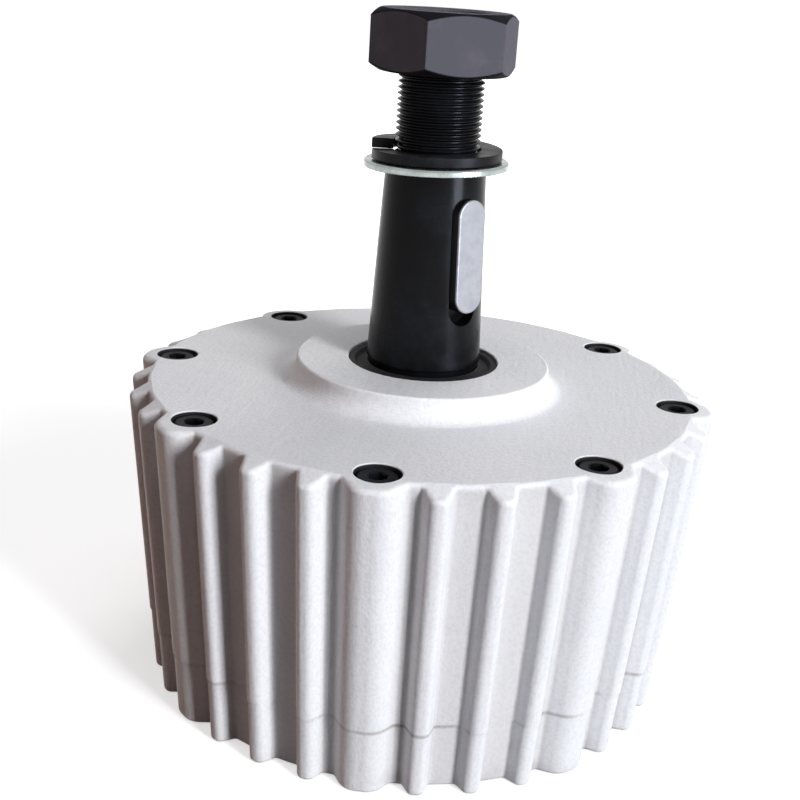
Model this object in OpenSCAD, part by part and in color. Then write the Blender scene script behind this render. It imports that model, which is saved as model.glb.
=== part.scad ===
// Permanent magnet wind generator: a ribbed two-part cast housing, closed by
// eight socket screws, with a tapered and keyed shaft that ends in a thread
// with its washers and nut. Millimetres.
//
// The rear face lies on z = 0 and the shaft points up along +Z. A bolt boss
// lies on every multiple of 45 degrees, counted from +X.

/* [Housing] */
// Height from the rear face to the front face
body_h = 113; // [95:1:136]
// Radius of the front face, which is the wall between the ribs
front_r = 98.5; // [84:0.5:118]
// Draft of the housing wall in degrees
draft = 4.2; // [1:0.1:5]
// How far the ribs stand out from the wall
rib_depth = 8; // [5:0.5:10]
// Width of a plain rib
rib_w = 8; // [6:0.5:10]
// Corner radius along the nose of a plain rib
rib_nose_r = 3.4; // [1:0.1:3.6]
// Plain ribs between two bolt bosses
ribs_between = 3; // [1:1:4]
// Drop of the sloping shoulder from the front face to a rib's tip
shoulder_drop = 2.4; // [0.5:0.1:4]
// Width of the shoulder inside the wall
shoulder_inset = 1; // [0.5:0.1:2]
// Step at the parting line, where the rear housing is smaller
seam_step = 0.4; // [0:0.1:1]

/* [Hub] */
// Outer radius of the raised hub ring
hub_r = 46.5; // [42:0.5:56]
// Height of the hub ring above the front face
hub_h = 8.6; // [6:0.2:12]
// Radius of the hollow at the foot of the hub ring
hub_fillet_r = 6; // [2:0.5:9]
// Chamfer on the outer edge of the hub ring
hub_chamfer = 0.6; // [0.2:0.1:1.5]

/* [Housing screws] */
// Number of bolt bosses and screws
screw_count = 8; // [6:1:8]
// Thread diameter of the housing screws
screw_d = 8; // [6.5:0.5:9.6]
// Distance of the screws inside the edge of the front face
screw_inset = 4.5; // [3:0.5:7]
// Radial room between a screw head and its counterbore
head_gap = 1; // [0.5:0.1:1.5]
// Depth of the screw head below the front face
head_sink = 1; // [0.5:0.5:10]
// Wall beside the counterbore
boss_wall = 1.5; // [1:0.1:3]
// Wall left outside the threaded end of a screw
screw_wall = 1.2; // [1:0.1:3]
// Height of the screw's end above the rear face
screw_end_z = 14; // [8:0.5:16]
// Radial room round the screw in the front housing
screw_room = 0.5; // [0.2:0.1:1]

/* [Shaft] */
// Thread diameter at the shaft's end
thread_d = 30; // [25:0.5:36]
// Width of the shoulder that the washers rest on
thread_shoulder = 2.8; // [2:0.1:5]
// Length of the taper
taper_len = 68; // [60:1:82]
// Growth of the taper's diameter for each millimetre of length
taper_rate = 0.088; // [0.05:0.001:0.1]
// Step from the foot of the taper to the journal below it
journal_step = 0.8; // [0.4:0.1:2]
// Gap between the hub face and the foot of the taper
taper_gap = 1.9; // [1.5:0.1:4]
// Length of the thread above the washers' shoulder
thread_len = 52.3; // [46:0.1:64]
// Chamfer at the thread's end
thread_chamfer = 1.2; // [0.5:0.1:2]
// Diameter of the rear journal
rear_journal_d = 30; // [25:0.5:36]

/* [Key] */
// Direction that the key faces, in degrees from +X
key_turn = 318; // [0:1:359]
// Width of the key
key_w = 12; // [10:0.5:14]
// Thickness of the key
key_h = 8; // [6.5:0.5:9.5]
// Length of the key
key_len = 40; // [34:1:48]
// Depth of the keyway below the taper's surface
keyway_depth = 5.2; // [4:0.1:6]
// Length of keyway left free below the key
keyway_spare = 5; // [1:0.5:8]
// Distance from the upper end of the keyway to the washers' shoulder
keyway_top_gap = 7.7; // [5:0.1:12]
// Room beside and above the key in its keyway
key_room = 0.05; // [0.02:0.01:0.1]

/* [Washers and nut] */
// Outer radius of the flat washer
flat_washer_r = 25.5; // [22:0.5:30]
// Thickness of the flat washer
flat_washer_t = 2.5; // [2:0.1:4]
// Radial room between the flat washer and the thread
flat_washer_room = 0.6; // [0.3:0.1:1]
// Outer radius of the spring lock washer
lock_washer_r = 23; // [21:0.5:28]
// Thickness of the lock washer's coil
lock_washer_t = 3.5; // [3:0.1:5]
// Rise of the lock washer over its turn
lock_washer_rise = 3.2; // [1:0.1:4]
// Direction of the lock washer's split, in degrees from +X
lock_split_turn = 192; // [0:1:359]
// Angle of the lock washer's split
lock_split = 8; // [4:1:20]
// Radial room between the lock washer and the thread
lock_washer_room = 0.4; // [0.2:0.1:1]
// Width of the nut across its flats
nut_af = 46; // [42:0.5:56]
// Height of the nut
nut_h = 20.5; // [17:0.5:24]
// Direction of one corner of the nut, in degrees from +X
nut_turn = 25; // [0:1:59]
// Distance of the thread's end below the nut's top
nut_proud = 1; // [0.5:0.1:3]

/* [Bearings and seal] */
// Width of the seal's rubber ring
seal_band = 7.5; // [6:0.5:9]
// Height of the seal
seal_h = 8; // [6:0.5:10]
// Depth of the seal below the hub face
seal_sink = 1; // [0.5:0.1:3]
// Wall between the seal and the front bearing
seal_shelf = 4.6; // [3:0.1:8]
// Radial thickness of the front bearing
front_bearing_band = 14; // [12:0.5:17]
// Width of the front bearing
front_bearing_w = 15; // [12:1:18]
// Radial thickness of the rear bearing
rear_bearing_band = 16; // [13:0.5:19]
// Width of the rear bearing
rear_bearing_w = 16; // [13:1:19]
// Shelf of the rear housing that stops the rear bearing
rear_shelf = 3.5; // [2.5:0.1:5]
// Running clearance round the shaft
run_gap = 0.05; // [0.02:0.01:0.1]

/* [Rear face] */
// Depth of the recess for the bearing cap
cap_seat = 5; // [4:0.5:6]
// Thickness of the bearing cap
cap_t = 4.4; // [3.5:0.1:5]
// Width of the cap's rim outside the rear bearing
cap_rim = 14; // [12:0.5:17]
// Radial room round the cap
cap_room = 0.2; // [0.1:0.1:0.5]
// Thread diameter of the cap screws
cap_screw_d = 5; // [4:0.5:6]
// Head diameter of the cap screws
cap_head_d = 9.6; // [8:0.2:11.6]
// Length of the cap screws
cap_screw_len = 14; // [12:1:16]
// Number of cap screws
cap_screw_count = 4; // [3:1:4]
// Diameter of the threaded mounting holes
mount_hole_d = 8.5; // [7:0.5:10]
// Depth of the mounting holes
mount_hole_depth = 18; // [14:1:20]
// Outer radius of the cable grommet
grommet_r = 9; // [7.5:0.5:10.5]
// Wall of the cable grommet
grommet_wall = 3.5; // [2.5:0.1:4]
// Length of the cable grommet
grommet_len = 11; // [8:1:13]
// Depth of the grommet below the rear face
grommet_sink = 0.6; // [0.2:0.1:2]

/* [Hidden] */

// Cuts run this far past a face
cut = 1;
// Faces that touch without a fit keep this much room in bores
touch = 0.02;
// Facets in a quarter turn of a rib's nose
nose_steps = 3;

// Shaft: diameters follow from the thread at its end
taper_small_d = thread_d + 2 * thread_shoulder;
taper_large_d = taper_small_d + taper_rate * taper_len;
journal_d = taper_large_d - 2 * journal_step;

// Heights up the axis
rear_bearing_top_z = cap_seat + rear_bearing_w;
seam_z = rear_bearing_top_z + rear_shelf;
hub_top_z = body_h + hub_h;
seal_z = hub_top_z - seal_sink - seal_h;
front_bearing_z = seal_z - seal_shelf - front_bearing_w;
taper_z = hub_top_z + taper_gap;
shoulder_z = taper_z + taper_len;
thread_end_z = shoulder_z + thread_len;
nut_z = thread_end_z + nut_proud - nut_h;
flat_washer_z = shoulder_z;
lock_washer_z = flat_washer_z + flat_washer_t;

// Radii of what the bores hold
seal_r = journal_d / 2 + seal_band;
front_bearing_r = journal_d / 2 + front_bearing_band;
rear_bearing_r = rear_journal_d / 2 + rear_bearing_band;
cap_r = rear_bearing_r + cap_rim;
cap_screw_r = rear_bearing_r + cap_rim / 2;

// The mounting holes and the cable outlet lie midway between the cap's recess
// and the rear wall, rounded down to a whole millimetre
rear_wall_r = front_r * draft_scale(0) - seam_step;
rear_circle_r = floor((cap_r + cap_room + rear_wall_r) / 2);

rear_journal_z = cap_seat + 1;

// Housing screws: a head is 13/8 of its thread, as on a socket head screw
head_d = screw_d * 13 / 8;
head_h = screw_d;
socket_af = screw_d * 3 / 4;
socket_depth = screw_d / 2;
counterbore_r = head_d / 2 + head_gap;
head_seat_z = body_h - head_sink - head_h;
screw_r = front_r - screw_inset;

// Bolt bosses: wide enough for the counterbore, and proud enough for a wall
// outside the screw's end, where the draft has brought the nose inwards
boss_w = 2 * (counterbore_r + boss_wall);
boss_nose_r = boss_w * 0.42;
boss_tip_r = (screw_r + screw_d / 2 + screw_wall) / draft_scale(screw_end_z);

rib_tip_r = front_r + rib_depth;
nose_r = min(rib_nose_r, 0.45 * rib_w);
boss_pitch = 360 / screw_count;
rib_pitch = boss_pitch / (ribs_between + 1);

// Size of the housing's outline at height z, as a share of the front face
function draft_scale(z) = 1 - (body_h - z) * tan(draft) / front_r;

// One rounded corner of a nose, from angle a0 to a0 + 90
function corner(cx, cy, r, a0) = [
    for (i = [0:nose_steps])
        let (a = a0 + 90 * i / nose_steps)
            [cx + r * cos(a), cy + r * sin(a)]
];

// One rib and the wall up to the next rib, seen along the shaft
function rib_outline(tip, w, nose) = concat(
    [[sqrt(front_r * front_r - w * w / 4), -w / 2]],
    corner(tip - nose, nose - w / 2, nose, -90),
    corner(tip - nose, w / 2 - nose, nose, 0),
    [[sqrt(front_r * front_r - w * w / 4), w / 2]]
);

function turned(p, a) = [
    p[0] * cos(a) - p[1] * sin(a),
    p[0] * sin(a) + p[1] * cos(a)
];

// Outline of the whole housing at the front face
function housing_outline() = [
    for (b = [0:screw_count - 1])
        for (i = [0:ribs_between])
            let (
                boss = i == 0,
                a = b * boss_pitch + i * rib_pitch,
                rib = boss
                    ? rib_outline(boss_tip_r, boss_w, boss_nose_r)
                    : rib_outline(rib_tip_r, rib_w, nose_r)
            )
                for (p = rib) turned(p, a)
];

// A length of ribbed housing between two heights, smaller by inset
module ribbed_length(z0, z1, inset = 0) {
    k0 = draft_scale(z0) - inset / front_r;
    k1 = draft_scale(z1) - inset / front_r;
    translate([0, 0, z0])
        linear_extrude(height = z1 - z0, scale = k1 / k0)
            scale([k0, k0])
                polygon(housing_outline());
}

// Everything below the front face and below the sloping shoulder of the ribs
module shoulder_limit() {
    reach = boss_tip_r + rib_depth;
    edge_r = front_r - shoulder_inset;
    slope = shoulder_drop / (rib_tip_r - edge_r);
    rotate_extrude($fn = 180)
        polygon([
            [0, 0],
            [reach, 0],
            [reach, body_h - slope * (reach - edge_r)],
            [edge_r, body_h],
            [0, body_h]
        ]);
}

// Hub ring with its hollow foot
module hub() {
    foot_r = hub_r + hub_fillet_r;
    rotate_extrude($fn = 180)
        polygon(concat(
            [[0, body_h - hub_fillet_r], [foot_r, body_h - hub_fillet_r]],
            [
                for (i = [0:5])
                    let (a = 270 - 15 * i * 1.2)
                        [
                            foot_r + hub_fillet_r * cos(a),
                            body_h + hub_fillet_r + hub_fillet_r * sin(a)
                        ]
            ],
            [
                [hub_r, hub_top_z - hub_chamfer],
                [hub_r - hub_chamfer, hub_top_z],
                [0, hub_top_z]
            ]
        ));
}

// Counterbore and through hole of one housing screw
module screw_cut() {
    translate([0, 0, head_seat_z])
        cylinder(h = body_h - head_seat_z + cut, r = counterbore_r, $fn = 64);
    translate([0, 0, seam_z - cut])
        cylinder(h = head_seat_z - seam_z + 2 * cut, r = screw_d / 2 + screw_room, $fn = 48);
}

module at_each_screw() {
    for (i = [0:screw_count - 1])
        rotate([0, 0, i * boss_pitch])
            translate([screw_r, 0, 0])
                children();
}

module front_housing() {
    color("white")
        difference() {
            union() {
                intersection() {
                    ribbed_length(seam_z, body_h);
                    shoulder_limit();
                }
                hub();
            }
            // seal seat
            translate([0, 0, seal_z])
                cylinder(h = hub_top_z - seal_z + cut, r = seal_r, $fn = 120);
            // shaft hole through the shelf under the seal
            translate([0, 0, seam_z])
                cylinder(h = seal_z - seam_z + cut, r = journal_d / 2 + seal_band - 2, $fn = 120);
            // front bearing seat, open towards the rear housing
            translate([0, 0, seam_z - cut])
                cylinder(
                    h = front_bearing_z + front_bearing_w - seam_z + cut,
                    r = front_bearing_r, $fn = 120
                );
            at_each_screw() screw_cut();
        }
}

module rear_housing() {
    color("gainsboro")
        difference() {
            ribbed_length(0, seam_z, seam_step);
            // bearing seat and the hole through its shelf
            translate([0, 0, -cut])
                cylinder(h = rear_bearing_top_z + cut, r = rear_bearing_r, $fn = 120);
            translate([0, 0, -cut])
                cylinder(h = seam_z + 2 * cut, r = rear_bearing_r - rear_bearing_band / 3, $fn = 120);
            // recess for the bearing cap
            translate([0, 0, -cut])
                cylinder(h = cap_seat + cut, r = cap_r + cap_room, $fn = 120);
            at_each_cap_screw()
                cylinder(h = cap_seat + cap_screw_len, r = cap_screw_d / 2 + touch, $fn = 32);
            at_each_screw()
                translate([0, 0, screw_end_z])
                    cylinder(h = seam_z - screw_end_z + cut, r = screw_d / 2 + touch, $fn = 48);
            // mounting holes
            for (i = [0:3])
                rotate([0, 0, 45 + 90 * i])
                    translate([rear_circle_r, 0, -cut])
                        cylinder(h = mount_hole_depth + cut, d = mount_hole_d, $fn = 48);
            // cable outlet
            translate([0, rear_circle_r, -cut])
                cylinder(h = grommet_sink + grommet_len + cut, r = grommet_r, $fn = 64);
        }
}

module housing_screw(i) {
    color("black")
        rotate([0, 0, (i - 1) * boss_pitch])
            translate([screw_r, 0, 0])
                difference() {
                    union() {
                        translate([0, 0, head_seat_z])
                            cylinder(h = head_h, d = head_d, $fn = 64);
                        translate([0, 0, screw_end_z])
                            cylinder(h = head_seat_z - screw_end_z + cut, d = screw_d, $fn = 48);
                    }
                    translate([0, 0, head_seat_z + head_h - socket_depth])
                        cylinder(h = socket_depth + cut, d = socket_af / cos(30), $fn = 6);
                }
}

// A ring between two radii
module ring(inner, outer, h) {
    difference() {
        cylinder(h = h, r = outer, $fn = 120);
        translate([0, 0, -cut])
            cylinder(h = h + 2 * cut, r = inner, $fn = 120);
    }
}

module shaft_seal() {
    color("black")
        translate([0, 0, seal_z])
            ring(journal_d / 2 + run_gap, seal_r - touch, seal_h);
}

module front_bearing() {
    color("silver")
        translate([0, 0, front_bearing_z])
            ring(journal_d / 2 + run_gap, front_bearing_r - touch, front_bearing_w);
}

module rear_bearing() {
    color("silver")
        translate([0, 0, cap_seat])
            ring(rear_journal_d / 2 + run_gap, rear_bearing_r - touch, rear_bearing_w);
}

module at_each_cap_screw() {
    for (i = [0:cap_screw_count - 1])
        rotate([0, 0, i * 360 / cap_screw_count])
            translate([cap_screw_r, 0, 0])
                children();
}

// Countersunk screw with its head down, flush with the cap's outer face;
// room widens it into the cut that holds it
module countersunk(room = 0) {
    cone_h = (cap_head_d - cap_screw_d) / 2;
    face_z = cap_seat - cap_t;
    translate([0, 0, face_z])
        cylinder(h = cone_h, r1 = cap_head_d / 2 + room, r2 = cap_screw_d / 2 + room, $fn = 48);
    translate([0, 0, face_z + cone_h / 2])
        cylinder(h = cap_seat + cap_screw_len - face_z - cone_h / 2, r = cap_screw_d / 2 + room, $fn = 32);
}

module rear_bearing_cap() {
    color("gainsboro")
        difference() {
            translate([0, 0, cap_seat - cap_t])
                cylinder(h = cap_t, r = cap_r, $fn = 120);
            at_each_cap_screw() countersunk(touch);
        }
}

module cap_screw(i) {
    cross = cap_screw_d / 5;
    color("dimgray")
        rotate([0, 0, (i - 1) * 360 / cap_screw_count])
            translate([cap_screw_r, 0, 0])
                difference() {
                    countersunk();
                    for (a = [0, 90])
                        rotate([0, 0, a])
                            translate([0, 0, cap_seat - cap_t])
                                cube([cap_screw_d, cross, 2 * cross], center = true);
                }
}

module cable_grommet() {
    color("black")
        translate([0, rear_circle_r, grommet_sink])
            ring(grommet_r - grommet_wall, grommet_r - touch, grommet_len);
}

// Outline of a round-ended key standing along z, drawn in the key's own plane
module key_outline(w, len) {
    square([len - w, w], center = true);
    for (s = [-1, 1])
        translate([s * (len - w) / 2, 0])
            circle(d = w, $fn = 64);
}

// A round-ended block that stands on the keyway's floor and faces key_turn,
// parallel to the taper's surface
module key_block(w, len, h, z_mid) {
    lean = atan(taper_rate / 2);
    surface_r = (taper_large_d - taper_rate * (z_mid - taper_z)) / 2;
    rotate([0, 0, key_turn])
        translate([surface_r, 0, z_mid])
            rotate([0, 90 - lean, 0])
                translate([0, 0, -keyway_depth])
                    linear_extrude(height = h)
                        key_outline(w, len);
}

keyway_len = key_len + keyway_spare + 2 * key_room;
keyway_top_z = shoulder_z - keyway_top_gap;

module shaft() {
    color("black")
        difference() {
            rotate_extrude($fn = 120)
                polygon([
                    [0, rear_journal_z],
                    [rear_journal_d / 2, rear_journal_z],
                    [rear_journal_d / 2, rear_bearing_top_z],
                    [journal_d / 2, rear_bearing_top_z],
                    [journal_d / 2, taper_z - journal_step],
                    [taper_large_d / 2, taper_z],
                    [taper_small_d / 2, shoulder_z],
                    [thread_d / 2, shoulder_z],
                    [thread_d / 2, thread_end_z - thread_chamfer],
                    [thread_d / 2 - thread_chamfer, thread_end_z],
                    [0, thread_end_z]
                ]);
            key_block(key_w + 2 * key_room, keyway_len, taper_large_d, keyway_top_z - keyway_len / 2);
        }
}

module shaft_key() {
    color("lightgray")
        key_block(key_w, key_len, key_h, keyway_top_z - key_room - key_len / 2);
}

module flat_washer() {
    color("silver")
        translate([0, 0, flat_washer_z])
            ring(thread_d / 2 + flat_washer_room, flat_washer_r, flat_washer_t);
}

// Spring lock washer: a square-edged coil that climbs over one turn
module lock_washer() {
    steps = 60;
    inner = thread_d / 2 + lock_washer_room;
    sweep = 360 - lock_split;
    rings = [
        for (i = [0:steps])
            let (
                a = lock_split_turn + lock_split / 2 + sweep * i / steps,
                z = lock_washer_z + lock_washer_rise * i / steps
            )
                for (p = [
                    [inner, z], [lock_washer_r, z],
                    [lock_washer_r, z + lock_washer_t], [inner, z + lock_washer_t]
                ])
                    [p[0] * cos(a), p[0] * sin(a), p[1]]
    ];
    sides = [
        for (i = [0:steps - 1])
            for (j = [0:3])
                let (k = (j + 1) % 4)
                    for (t = [
                        [4 * i + j, 4 * i + 4 + j, 4 * i + 4 + k],
                        [4 * i + j, 4 * i + 4 + k, 4 * i + k]
                    ]) t
    ];
    last = 4 * steps;
    color("black")
        polyhedron(
            points = rings,
            faces = concat(sides, [[0, 1, 2], [0, 2, 3], [last + 2, last + 1, last], [last + 3, last + 2, last]])
        );
}

// Hexagon nut, chamfered on both faces; the turned surfaces start off its corners
module shaft_nut() {
    corner_r = nut_af / 2 / cos(30);
    chamfer_r = nut_af / 2 - 0.5;
    rise = (corner_r - chamfer_r) * tan(30);
    off_corner = 13;
    color("black")
        translate([0, 0, nut_z])
        rotate([0, 0, nut_turn + off_corner])
            difference() {
                intersection() {
                    rotate([0, 0, -off_corner])
                        cylinder(h = nut_h, r = corner_r, $fn = 6);
                    rotate_extrude($fn = 120)
                        polygon([
                            [0, 0], [chamfer_r, 0], [corner_r, rise],
                            [corner_r, nut_h - rise], [chamfer_r, nut_h], [0, nut_h]
                        ]);
                }
                translate([0, 0, -cut])
                    cylinder(h = nut_h + 2 * cut, r = thread_d / 2 + touch, $fn = 120);
            }
}

front_housing();
rear_housing();
housing_screw(1);  // housing_screw_1
housing_screw(2);  // housing_screw_2
housing_screw(3);  // housing_screw_3
housing_screw(4);  // housing_screw_4
housing_screw(5);  // housing_screw_5
housing_screw(6);  // housing_screw_6
housing_screw(7);  // housing_screw_7
housing_screw(8);  // housing_screw_8
shaft_seal();
front_bearing();
rear_bearing();
rear_bearing_cap();
cap_screw(1);  // cap_screw_1
cap_screw(2);  // cap_screw_2
cap_screw(3);  // cap_screw_3
cap_screw(4);  // cap_screw_4
cable_grommet();
shaft();
shaft_key();
flat_washer();
lock_washer();
shaft_nut();
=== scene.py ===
"""Visual model of a permanent magnet wind generator, built round its CAD frame.

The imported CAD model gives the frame: which bodies there are, where each node
lies and how the rotor turns. Each class below models one sub-assembly in that
frame, dresses it and says which node it stands for. Sizes are in millimetres
and angles in degrees, except where a docstring says otherwise.
"""

from __future__ import annotations

import itertools
import logging
import math
from collections.abc import Callable, Iterable, Mapping, Sequence
from dataclasses import dataclass, replace
from enum import Enum
from math import atan, atan2, ceil, cos, hypot, pi, radians, sin, sqrt, tan
from typing import ClassVar

import bmesh
import bpy
from mathutils import Matrix, Vector

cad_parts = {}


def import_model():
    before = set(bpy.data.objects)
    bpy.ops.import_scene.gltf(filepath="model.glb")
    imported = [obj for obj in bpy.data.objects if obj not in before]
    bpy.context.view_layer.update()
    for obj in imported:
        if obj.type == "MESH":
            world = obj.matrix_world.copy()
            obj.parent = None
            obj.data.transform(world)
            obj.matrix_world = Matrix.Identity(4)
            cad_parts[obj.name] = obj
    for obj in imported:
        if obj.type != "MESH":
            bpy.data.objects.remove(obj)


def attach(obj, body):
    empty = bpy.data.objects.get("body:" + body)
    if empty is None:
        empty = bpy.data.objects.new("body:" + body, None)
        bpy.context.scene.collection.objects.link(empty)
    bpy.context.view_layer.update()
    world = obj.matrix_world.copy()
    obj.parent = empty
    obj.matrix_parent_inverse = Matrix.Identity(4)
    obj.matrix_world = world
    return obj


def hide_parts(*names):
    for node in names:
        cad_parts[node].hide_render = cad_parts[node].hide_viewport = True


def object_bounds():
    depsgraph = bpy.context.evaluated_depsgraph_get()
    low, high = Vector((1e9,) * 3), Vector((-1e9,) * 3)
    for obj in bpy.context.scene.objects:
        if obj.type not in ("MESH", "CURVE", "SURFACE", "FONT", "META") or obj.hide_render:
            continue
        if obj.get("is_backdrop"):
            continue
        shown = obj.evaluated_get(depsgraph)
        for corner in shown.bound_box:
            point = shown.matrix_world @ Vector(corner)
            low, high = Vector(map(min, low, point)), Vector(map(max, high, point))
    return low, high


LOG = logging.getLogger("generator")
MM = 0.001
NEAR = 0.01  # how close a vertex lies to the level or place it is picked by
SPARE = 1.0  # how far a cutting shape stands out of what it cuts

Piece = bpy.types.Object
Point2 = tuple[float, float]
Point3 = tuple[float, float, float]
Colour = Point3
ORIGIN: Point3 = (0.0, 0.0, 0.0)


class Body(Enum):
    """The bodies that pieces ride on."""

    HOUSING = "housing"
    ROTOR = "rotor"


class Slot(Enum):
    """Material slots, one carried by each finish."""

    PAINT = "housing_paint"
    BLACK = "black_steel"
    ZINC = "zinc"
    KEY = "key_steel"
    BEARING = "bearing_steel"
    RUBBER = "seal_rubber"


def named(piece: Piece, name: str) -> Piece:
    """Names an object and its data, and returns it."""
    piece.name = piece.data.name = name
    return piece


class Bench:
    """Edit-mode tools that work on one mesh at a time, in millimetres."""

    @staticmethod
    def clear() -> None:
        """Leaves edit mode and deselects every object."""
        if bpy.context.object and bpy.context.object.mode == "EDIT":
            bpy.ops.object.mode_set(mode="OBJECT")
        bpy.ops.object.select_all(action="DESELECT")

    @classmethod
    def take(cls, *pieces: Piece) -> None:
        """Selects some objects only, and makes the first of them active.

        Args:
            *pieces: The objects.
        """
        cls.clear()
        for piece in pieces:
            piece.select_set(True)
        bpy.context.view_layer.objects.active = pieces[0]

    @classmethod
    def open(cls, piece: Piece) -> None:
        """Opens a piece in edit mode.

        Args:
            piece: The piece.
        """
        cls.take(piece)
        bpy.ops.object.mode_set(mode="EDIT")
        bpy.ops.mesh.select_mode(type="VERT")

    @staticmethod
    def select(mode: str, test: Callable[..., bool]) -> None:
        """Selects the vertices or edges of the open piece that pass a test.

        Args:
            mode: VERT or EDGE.
            test: Says whether a vertex or an edge is wanted.
        """
        bpy.ops.mesh.select_mode(type=mode)
        bpy.ops.mesh.select_all(action="DESELECT")
        data = bpy.context.object.data
        mesh = bmesh.from_edit_mesh(data)
        mesh.normal_update()
        for part in mesh.verts if mode == "VERT" else mesh.edges:
            if test(part):
                part.select_set(True)
        if mode == "VERT":
            mesh.select_flush_mode()
        bmesh.update_edit_mesh(data)

    @classmethod
    def pick(cls, points: Iterable[Point3]) -> None:
        """Selects the vertices that lie at given places.

        Args:
            points: The places.
        """
        cells = list(itertools.product((-1, 0, 1), repeat=3))
        keys = {tuple(round(c / NEAR) + s for c, s in zip(p, cell)) for p in points for cell in cells}
        cls.select("VERT", lambda vertex: tuple(round(c / MM / NEAR) for c in vertex.co) in keys)

    @classmethod
    def pick_level(cls, level: float, faces: int = 1) -> None:
        """Selects the edges of the open piece that lie at a height.

        Args:
            level: The height.
            faces: How many faces share each edge.
        """
        cls.select(
            "EDGE",
            lambda edge: len(edge.link_faces) == faces
            and all(abs(vertex.co.z / MM - level) < NEAR for vertex in edge.verts),
        )

    @classmethod
    def cap(cls, level: float) -> None:
        """Closes the opening at a height with a face."""
        cls.pick_level(level)
        bpy.ops.mesh.edge_face_add()

    @staticmethod
    def scale(value: Point3) -> None:
        """Scales what is selected about the origin."""
        bpy.ops.transform.resize(value=value, center_override=ORIGIN)

    @classmethod
    def start(cls) -> Piece:
        """Adds a plane to draw on and opens it with nothing left of it.

        Returns:
            The new object, in edit mode.
        """
        cls.clear()
        bpy.ops.mesh.primitive_plane_add(size=MM, location=ORIGIN)
        cls.open(bpy.context.object)
        bpy.ops.mesh.delete(type="VERT")
        return bpy.context.object

    @staticmethod
    def path(points: Sequence[Point3]) -> None:
        """Draws an open line in the open piece by extruding a single point.

        Args:
            points: Where the line goes.
        """
        bpy.ops.mesh.select_all(action="DESELECT")
        bpy.ops.mesh.primitive_plane_add(size=MM, location=ORIGIN)
        bpy.ops.mesh.merge(type="CENTER")
        bpy.ops.transform.translate(value=[c * MM for c in points[0]])
        for before, point in itertools.pairwise(points):
            step = (Vector(point) - Vector(before)) * MM
            bpy.ops.mesh.extrude_region_move(TRANSFORM_OT_translate={"value": step})

    @classmethod
    def grow(cls, rings: Sequence[Point2]) -> None:
        """Extrudes the selected ring up through radii and heights.

        Args:
            rings: Radius and height of each ring; the first is the selected one.
        """
        for (radius, height), (wide, high) in itertools.pairwise(rings):
            step = (0.0, 0.0, (high - height) * MM)
            bpy.ops.mesh.extrude_edges_move(TRANSFORM_OT_translate={"value": step})
            cls.scale((wide / radius, wide / radius, 1.0))

    @classmethod
    def turned(
        cls, rings: Sequence[Point2], segments: int = 128, closed: bool = False,
        at: Point2 = (0.0, 0.0),
    ) -> Piece:
        """Turns a profile round a vertical line, ring by ring.

        Args:
            rings: Radius and height of each ring, from the bottom up outside.
            segments: Number of sides.
            closed: Whether the last ring meets the first, as on a washer;
                otherwise both ends are capped.
            at: Where it stands, seen from above.

        Returns:
            The new object, in object mode.
        """
        cls.clear()
        radius, height = rings[0]
        fill = "NOTHING" if closed else "NGON"
        bpy.ops.mesh.primitive_circle_add(
            vertices=segments, radius=radius * MM, fill_type=fill, location=ORIGIN
        )
        piece = bpy.context.object
        bpy.ops.object.mode_set(mode="EDIT")
        bpy.ops.mesh.select_mode(type="EDGE")
        bpy.ops.transform.translate(value=(0.0, 0.0, height * MM))
        if not closed:
            cls.select("EDGE", lambda edge: True)
        cls.grow(rings)
        if not closed:
            bpy.ops.mesh.edge_face_add()
        cls.heal()
        return cls.stand(piece, at)

    @staticmethod
    def merge(distance: float) -> None:
        """Merges all doubles that are closer than a distance."""
        bpy.ops.mesh.select_all(action="SELECT")
        bpy.ops.mesh.remove_doubles(threshold=distance * MM)

    @classmethod
    def heal(cls, distance: float = 0.001) -> None:
        """Merges doubles and turns every face outwards."""
        cls.merge(distance)
        bpy.ops.mesh.normals_make_consistent(inside=False)

    @classmethod
    def settle(cls, piece: Piece) -> Piece:
        """Puts the place of an object into its mesh.

        Args:
            piece: The object.

        Returns:
            The same object.
        """
        cls.take(piece)
        bpy.ops.object.transform_apply(location=True, rotation=True, scale=True)
        return piece

    @classmethod
    def stand(cls, piece: Piece, at: Point2 = (0.0, 0.0), degrees: float = 0.0) -> Piece:
        """Turns a piece about the axis and moves it.

        Args:
            piece: The piece.
            at: Where its middle goes, seen from above.
            degrees: How far it turns, counter-clockwise from above.

        Returns:
            The same piece.
        """
        piece.location = (at[0] * MM, at[1] * MM, 0.0)
        piece.rotation_euler = (0.0, 0.0, radians(degrees))
        return cls.settle(piece)

    @classmethod
    def modify(cls, piece: Piece, kind: str, **settings: object) -> None:
        """Adds a modifier and applies it.

        Args:
            piece: The piece.
            kind: The modifier's type.
            **settings: Its properties.
        """
        cls.take(piece)
        made = piece.modifiers.new(kind.lower(), kind)
        for name, value in settings.items():
            setattr(made, name, value)
        bpy.ops.object.modifier_apply(modifier=made.name)

    @classmethod
    def wind(cls, piece: Piece, degrees: float, rise: float, turns: int, steps: int) -> None:
        """Winds the line of a piece up the axis into a surface, and opens it.

        Args:
            piece: The piece.
            degrees: How far one turn goes.
            rise: How far one turn climbs.
            turns: How many turns there are.
            steps: Number of faces in a turn.
        """
        cls.modify(
            piece, "SCREW", axis="Z", angle=radians(degrees), screw_offset=rise * MM,
            iterations=turns, steps=steps, render_steps=steps, use_merge_vertices=False,
        )
        cls.open(piece)

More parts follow.
